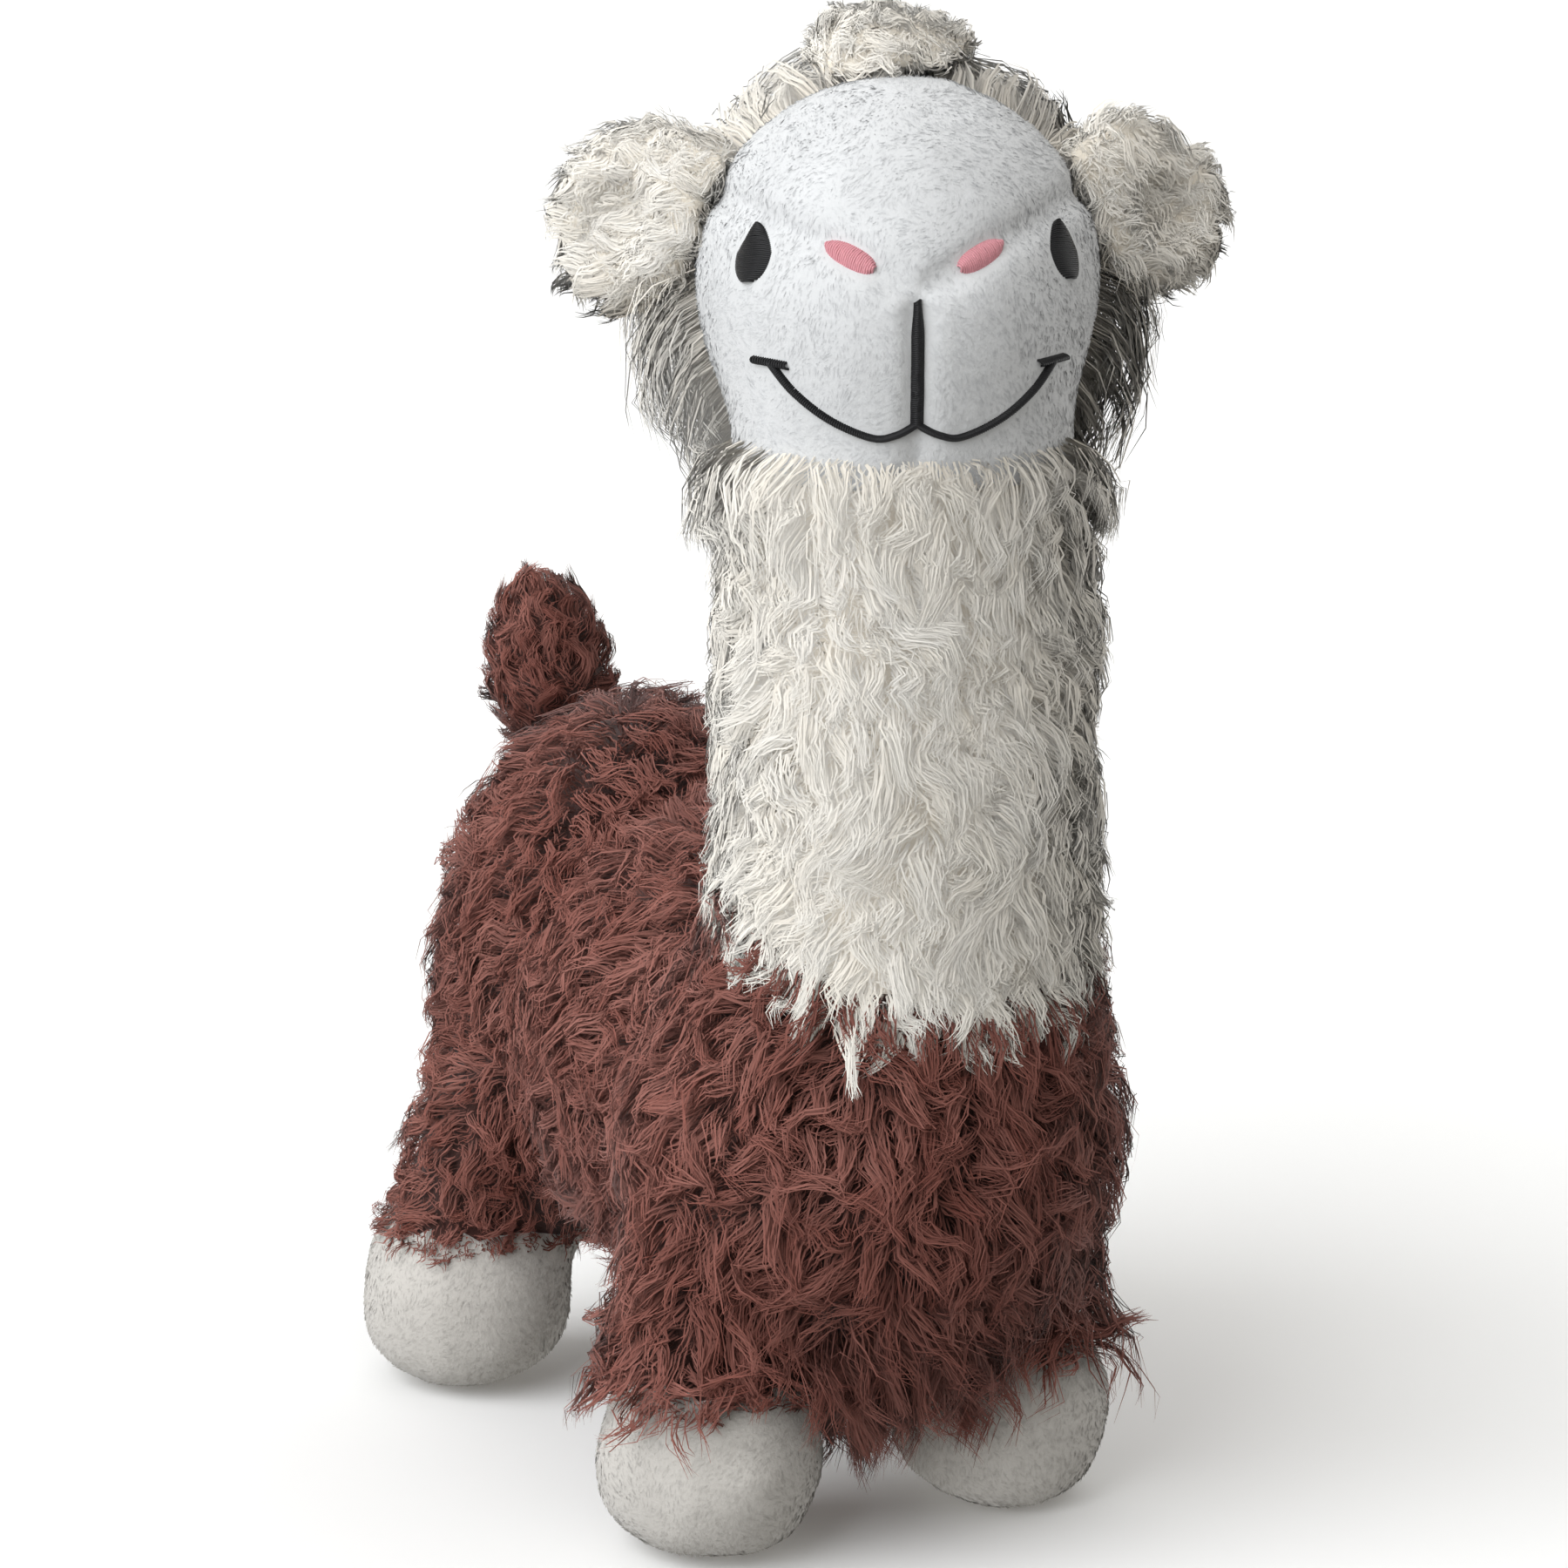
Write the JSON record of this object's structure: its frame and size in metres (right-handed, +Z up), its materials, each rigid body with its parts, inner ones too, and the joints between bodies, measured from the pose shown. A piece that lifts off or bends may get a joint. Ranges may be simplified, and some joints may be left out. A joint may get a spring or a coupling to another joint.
{
  "type": "plush dog toy",
  "caption": "Stuffed standing alpaca dog toy with a long shaggy coat, smooth plush face and feet, drooping ears, short tail and a squeaker inside.",
  "frame": {"origin": "on the floor, under the middle of the toy's bounding box", "axes": "+Z up, -Y the way the body faces, +X towards the toy's own left side; the neck turns the head towards the toy's own right"},
  "size_m": [0.1198, 0.1952, 0.273],
  "materials": {
    "brown_long_pile": "shaggy curly long pile",
    "cream_long_pile": "long wavy pile",
    "white_short_plush": "short smooth pile",
    "black_thread": "satin stitched thread",
    "pink_thread": "satin stitched thread",
    "white_filling": "loose polyester fibre",
    "clear_plastic": "smooth thin plastic"
  },
  "bodies": {
    "root": {"belly_gusset": "brown_long_pile", "body_panel_left": "brown_long_pile", "body_panel_right": "brown_long_pile", "tail": "brown_long_pile", "neck_panel_left": "cream_long_pile", "neck_panel_right": "cream_long_pile", "topknot": "cream_long_pile", "ear_front_left": "cream_long_pile", "ear_front_right": "cream_long_pile", "ear_back_left": "cream_long_pile", "ear_back_right": "cream_long_pile", "forehead_panel": "white_short_plush", "cheek_panel_left": "white_short_plush", "cheek_panel_right": "white_short_plush", "foot_front_left": "white_short_plush", "foot_front_right": "white_short_plush", "foot_rear_left": "white_short_plush", "foot_rear_right": "white_short_plush", "eye_left": "black_thread", "eye_right": "black_thread", "mouth_line": "black_thread", "smile_left": "black_thread", "smile_right": "black_thread", "nostril_left": "pink_thread", "nostril_right": "pink_thread", "filling_chest": "white_filling", "filling_rump": "white_filling", "filling_neck": "white_filling", "squeaker": "clear_plastic"}
  },
  "joints": []
}
